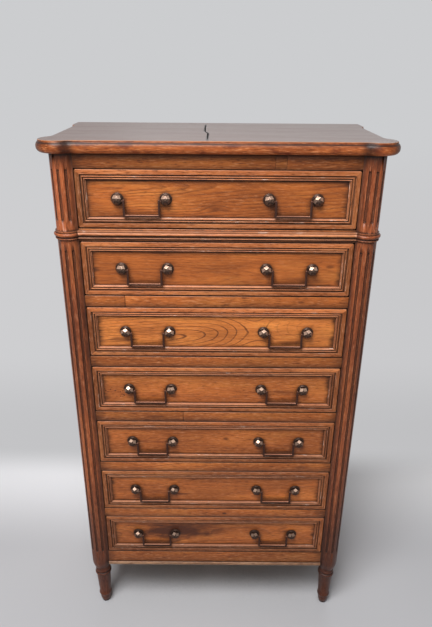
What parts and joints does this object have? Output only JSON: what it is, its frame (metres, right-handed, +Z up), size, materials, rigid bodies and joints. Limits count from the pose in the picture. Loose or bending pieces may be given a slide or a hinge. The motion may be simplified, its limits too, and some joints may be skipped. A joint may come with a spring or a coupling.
{
  "type": "semainier",
  "caption": "Tall narrow walnut chest of drawers with a lobed top, fluted corner columns, belt moulding, moulded drawer fronts, swinging bail pulls and turned legs.",
  "frame": {"origin": "bottom centre of the overall box, on the floor", "axes": "+Z up, front towards -Y, +X to the right seen from the front"},
  "size_m": [0.799, 0.4065, 1.411],
  "materials": {
    "case_wood": "waxed walnut",
    "column_wood": "dark waxed walnut",
    "drawer_wood": "waxed figured walnut",
    "moulding_wood": "waxed walnut mouldings",
    "inside_wood": "bare oak",
    "back_wood": "bare poplar, aged",
    "pull_metal": "worn pewter-coloured plating"
  },
  "bodies": {
    "carcass": {"top": "case_wood", "front_left_post": "column_wood", "front_right_post": "column_wood", "rear_left_post": "column_wood", "rear_right_post": "column_wood", "left_side_panels": "case_wood", "right_side_panels": "case_wood", "side_rails": "case_wood", "back_rails": "inside_wood", "back_boards": "back_wood", "frieze_rail": "case_wood", "drawer_rails": "case_wood", "base_rail": "case_wood", "base_bead": "moulding_wood", "belt_moulding": "moulding_wood", "drawer_runners": "inside_wood", "drawer_guides": "inside_wood", "drawer_stops": "inside_wood"},
    "drawer_1": {"drawer_1_front": "drawer_wood", "drawer_1_frame": "moulding_wood", "drawer_1_box": "inside_wood", "drawer_1_pull_posts": "pull_metal"},
    "drawer_1_left_bail": {"drawer_1_left_bail": "pull_metal"},
    "drawer_1_right_bail": {"drawer_1_right_bail": "pull_metal"},
    "drawer_2": {"drawer_2_front": "drawer_wood", "drawer_2_frame": "moulding_wood", "drawer_2_box": "inside_wood", "drawer_2_pull_posts": "pull_metal"},
    "drawer_2_left_bail": {"drawer_2_left_bail": "pull_metal"},
    "drawer_2_right_bail": {"drawer_2_right_bail": "pull_metal"},
    "drawer_3": {"drawer_3_front": "drawer_wood", "drawer_3_frame": "moulding_wood", "drawer_3_box": "inside_wood", "drawer_3_pull_posts": "pull_metal"},
    "drawer_3_left_bail": {"drawer_3_left_bail": "pull_metal"},
    "drawer_3_right_bail": {"drawer_3_right_bail": "pull_metal"},
    "drawer_4": {"drawer_4_front": "drawer_wood", "drawer_4_frame": "moulding_wood", "drawer_4_box": "inside_wood", "drawer_4_pull_posts": "pull_metal"},
    "drawer_4_left_bail": {"drawer_4_left_bail": "pull_metal"},
    "drawer_4_right_bail": {"drawer_4_right_bail": "pull_metal"},
    "drawer_5": {"drawer_5_front": "drawer_wood", "drawer_5_frame": "moulding_wood", "drawer_5_box": "inside_wood", "drawer_5_pull_posts": "pull_metal"},
    "drawer_5_left_bail": {"drawer_5_left_bail": "pull_metal"},
    "drawer_5_right_bail": {"drawer_5_right_bail": "pull_metal"},
    "drawer_6": {"drawer_6_front": "drawer_wood", "drawer_6_frame": "moulding_wood", "drawer_6_box": "inside_wood", "drawer_6_pull_posts": "pull_metal"},
    "drawer_6_left_bail": {"drawer_6_left_bail": "pull_metal"},
    "drawer_6_right_bail": {"drawer_6_right_bail": "pull_metal"},
    "drawer_7": {"drawer_7_front": "drawer_wood", "drawer_7_frame": "moulding_wood", "drawer_7_box": "inside_wood", "drawer_7_pull_posts": "pull_metal"},
    "drawer_7_left_bail": {"drawer_7_left_bail": "pull_metal"},
    "drawer_7_right_bail": {"drawer_7_right_bail": "pull_metal"}
  },
  "joints": [
    {"name": "drawer_1_slide", "type": "slide", "parent": "carcass", "child": "drawer_1", "axis": [0, -1, 0], "range_m": [0, 0.2]},
    {"name": "drawer_1_left_bail_hinge", "type": "hinge", "parent": "drawer_1", "child": "drawer_1_left_bail", "pos_m": [-0.172, -0.17475, 1.278], "axis": [-1, 0, 0], "range_deg": [-10, 188]},
    {"name": "drawer_1_right_bail_hinge", "type": "hinge", "parent": "drawer_1", "child": "drawer_1_right_bail", "pos_m": [0.172, -0.17475, 1.278], "axis": [-1, 0, 0], "range_deg": [-10, 188]},
    {"name": "drawer_2_slide", "type": "slide", "parent": "carcass", "child": "drawer_2", "axis": [0, -1, 0], "range_m": [0, 0.2]},
    {"name": "drawer_2_left_bail_hinge", "type": "hinge", "parent": "drawer_2", "child": "drawer_2_left_bail", "pos_m": [-0.172, -0.17475, 1.112], "axis": [-1, 0, 0], "range_deg": [-10, 188]},
    {"name": "drawer_2_right_bail_hinge", "type": "hinge", "parent": "drawer_2", "child": "drawer_2_right_bail", "pos_m": [0.172, -0.17475, 1.112], "axis": [-1, 0, 0], "range_deg": [-10, 188]},
    {"name": "drawer_3_slide", "type": "slide", "parent": "carcass", "child": "drawer_3", "axis": [0, -1, 0], "range_m": [0, 0.2]},
    {"name": "drawer_3_left_bail_hinge", "type": "hinge", "parent": "drawer_3", "child": "drawer_3_left_bail", "pos_m": [-0.172, -0.17475, 0.946], "axis": [-1, 0, 0], "range_deg": [-10, 188]},
    {"name": "drawer_3_right_bail_hinge", "type": "hinge", "parent": "drawer_3", "child": "drawer_3_right_bail", "pos_m": [0.172, -0.17475, 0.946], "axis": [-1, 0, 0], "range_deg": [-10, 188]},
    {"name": "drawer_4_slide", "type": "slide", "parent": "carcass", "child": "drawer_4", "axis": [0, -1, 0], "range_m": [0, 0.2]},
    {"name": "drawer_4_left_bail_hinge", "type": "hinge", "parent": "drawer_4", "child": "drawer_4_left_bail", "pos_m": [-0.172, -0.17475, 0.78], "axis": [-1, 0, 0], "range_deg": [-10, 188]},
    {"name": "drawer_4_right_bail_hinge", "type": "hinge", "parent": "drawer_4", "child": "drawer_4_right_bail", "pos_m": [0.172, -0.17475, 0.78], "axis": [-1, 0, 0], "range_deg": [-10, 188]},
    {"name": "drawer_5_slide", "type": "slide", "parent": "carcass", "child": "drawer_5", "axis": [0, -1, 0], "range_m": [0, 0.2]},
    {"name": "drawer_5_left_bail_hinge", "type": "hinge", "parent": "drawer_5", "child": "drawer_5_left_bail", "pos_m": [-0.172, -0.17475, 0.614], "axis": [-1, 0, 0], "range_deg": [-10, 188]},
    {"name": "drawer_5_right_bail_hinge", "type": "hinge", "parent": "drawer_5", "child": "drawer_5_right_bail", "pos_m": [0.172, -0.17475, 0.614], "axis": [-1, 0, 0], "range_deg": [-10, 188]},
    {"name": "drawer_6_slide", "type": "slide", "parent": "carcass", "child": "drawer_6", "axis": [0, -1, 0], "range_m": [0, 0.2]},
    {"name": "drawer_6_left_bail_hinge", "type": "hinge", "parent": "drawer_6", "child": "drawer_6_left_bail", "pos_m": [-0.172, -0.17475, 0.448], "axis": [-1, 0, 0], "range_deg": [-10, 188]},
    {"name": "drawer_6_right_bail_hinge", "type": "hinge", "parent": "drawer_6", "child": "drawer_6_right_bail", "pos_m": [0.172, -0.17475, 0.448], "axis": [-1, 0, 0], "range_deg": [-10, 188]},
    {"name": "drawer_7_slide", "type": "slide", "parent": "carcass", "child": "drawer_7", "axis": [0, -1, 0], "range_m": [0, 0.2]},
    {"name": "drawer_7_left_bail_hinge", "type": "hinge", "parent": "drawer_7", "child": "drawer_7_left_bail", "pos_m": [-0.172, -0.17475, 0.282], "axis": [-1, 0, 0], "range_deg": [-10, 188]},
    {"name": "drawer_7_right_bail_hinge", "type": "hinge", "parent": "drawer_7", "child": "drawer_7_right_bail", "pos_m": [0.172, -0.17475, 0.282], "axis": [-1, 0, 0], "range_deg": [-10, 188]}
  ]
}
